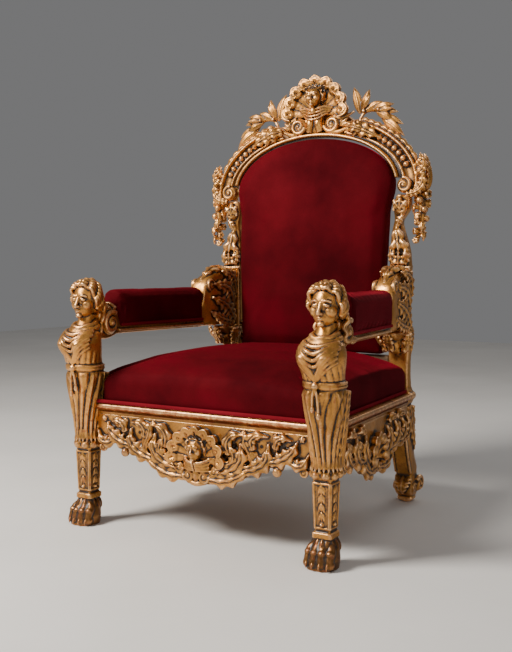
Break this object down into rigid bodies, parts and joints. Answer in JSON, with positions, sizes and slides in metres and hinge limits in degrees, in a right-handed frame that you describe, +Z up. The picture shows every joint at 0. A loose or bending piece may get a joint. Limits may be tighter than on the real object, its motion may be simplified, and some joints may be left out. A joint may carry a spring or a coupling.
{
  "type": "throne",
  "caption": "Giltwood ceremonial armchair with figure-carved front legs, paw feet, carved aprons, velvet seat, arms and arched back, and a shell cresting.",
  "frame": {"origin": "on the floor under the middle of the throne's box", "axes": "+Z up, -Y the way a sitter faces, +X to the right seen from the front"},
  "size_m": [0.9598, 0.8988, 1.46],
  "materials": {
    "gilt": "worn oil-gilt over bole on carved wood",
    "velvet": "deep crimson silk velvet",
    "plain_wood": "plain sawn and stained"
  },
  "bodies": {
    "root": {"front_leg_left": "gilt", "front_leg_right": "gilt", "rear_leg_left": "gilt", "rear_leg_right": "gilt", "front_rail": "gilt", "side_rail_left": "gilt", "side_rail_right": "gilt", "back_rail": "gilt", "front_apron": "gilt", "side_apron_left": "gilt", "side_apron_right": "gilt", "seat_board": "plain_wood", "seat_cushion": "velvet", "arm_left": "gilt", "arm_right": "gilt", "arm_pad_left": "velvet", "arm_pad_right": "velvet", "arm_bracket_left": "gilt", "arm_bracket_right": "gilt", "lower_back_rail": "plain_wood", "back_upholstery": "velvet", "back_band": "gilt", "arch_left": "gilt", "arch_right": "gilt", "crest": "gilt", "laurel_left": "gilt", "laurel_right": "gilt", "garland_left": "gilt", "garland_right": "gilt"}
  },
  "joints": []
}
